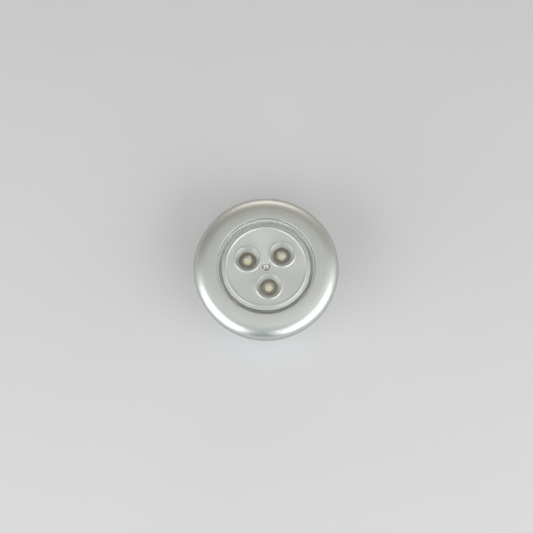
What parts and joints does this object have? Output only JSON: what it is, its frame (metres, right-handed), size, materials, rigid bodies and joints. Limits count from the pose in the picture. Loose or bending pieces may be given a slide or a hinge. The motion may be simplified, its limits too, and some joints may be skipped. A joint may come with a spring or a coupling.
{
  "type": "puck light",
  "caption": "Round stick-on touch lamp: silver front ring, clear push lens over a reflector with LED cups, flared housing with slim cells and a twist-off back cover.",
  "frame": {"origin": "middle of the adhesive face, on the axis of the lamp", "axes": "+Z out of the lens, away from the wall; +Y up on the wall; +X to the right when the lens is looked at"},
  "size_m": [0.068, 0.068, 0.0246],
  "materials": {
    "ring_silver": "satin",
    "housing_silver": "satin",
    "clear_lens": "polished",
    "reflector_silver": "gloss",
    "led_clear": "polished",
    "led_phosphor": "matte",
    "tinned_metal": "gloss",
    "spring_steel": "gloss",
    "screw_steel": "satin",
    "board_tan": "satin",
    "resistor_body": "satin",
    "switch_black": "satin",
    "plunger_grey": "satin",
    "cell_sleeve": "satin",
    "wire_red": "satin",
    "wire_black": "satin",
    "cover_grey": "matte",
    "foam_white": "matte"
  },
  "bodies": {
    "housing": {"base_shell": "housing_silver", "front_ring": "ring_silver", "housing_screw_1": "screw_steel", "housing_screw_2": "screw_steel", "housing_screw_3": "screw_steel", "housing_screw_4": "screw_steel", "battery_cell_1": "cell_sleeve", "battery_cell_2": "cell_sleeve", "battery_cell_3": "cell_sleeve", "contact_spring_1": "spring_steel", "contact_spring_2": "spring_steel", "contact_spring_3": "spring_steel", "negative_terminal": "tinned_metal", "positive_terminal": "tinned_metal", "link_plate_1": "tinned_metal", "link_plate_2": "tinned_metal", "wire_red": "wire_red", "wire_black": "wire_black", "circuit_board": "board_tan", "board_screw_1": "screw_steel", "board_screw_2": "screw_steel", "board_screw_3": "screw_steel", "resistor": "resistor_body", "switch_body": "switch_black", "switch_spring": "spring_steel", "led_1": "led_clear", "led_2": "led_clear", "led_3": "led_clear", "led_frame_1": "tinned_metal", "led_frame_2": "tinned_metal", "led_frame_3": "tinned_metal", "led_lead_1": "tinned_metal", "led_lead_2": "tinned_metal", "led_lead_3": "tinned_metal", "led_chip_1": "led_phosphor", "led_chip_2": "led_phosphor", "led_chip_3": "led_phosphor"},
    "push_cap": {"lens_cover": "clear_lens", "reflector_plate": "reflector_silver"},
    "plunger": {"switch_plunger": "plunger_grey"},
    "cover": {"back_cover": "cover_grey", "adhesive_pad": "foam_white"}
  },
  "joints": [
    {"name": "lens_push", "type": "slide", "parent": "housing", "child": "push_cap", "axis": [0, 0, -1], "range_m": [0, 0.0015], "stiffness_N_per_m": 1500, "springref_m": -0.0005},
    {"name": "plunger_slide", "type": "slide", "parent": "housing", "child": "plunger", "axis": [0, 0, -1], "range_m": [0, 0.0015], "deforming": ["switch_spring"]},
    {"name": "cover_twist", "type": "hinge", "parent": "housing", "child": "cover", "pos_m": [0, 0, 0], "axis": [0, 0, 1], "range_deg": [0, 30]}
  ],
  "couplings": [
    {"joint": "plunger_slide", "follows": "lens_push", "ratio": 1}
  ]
}
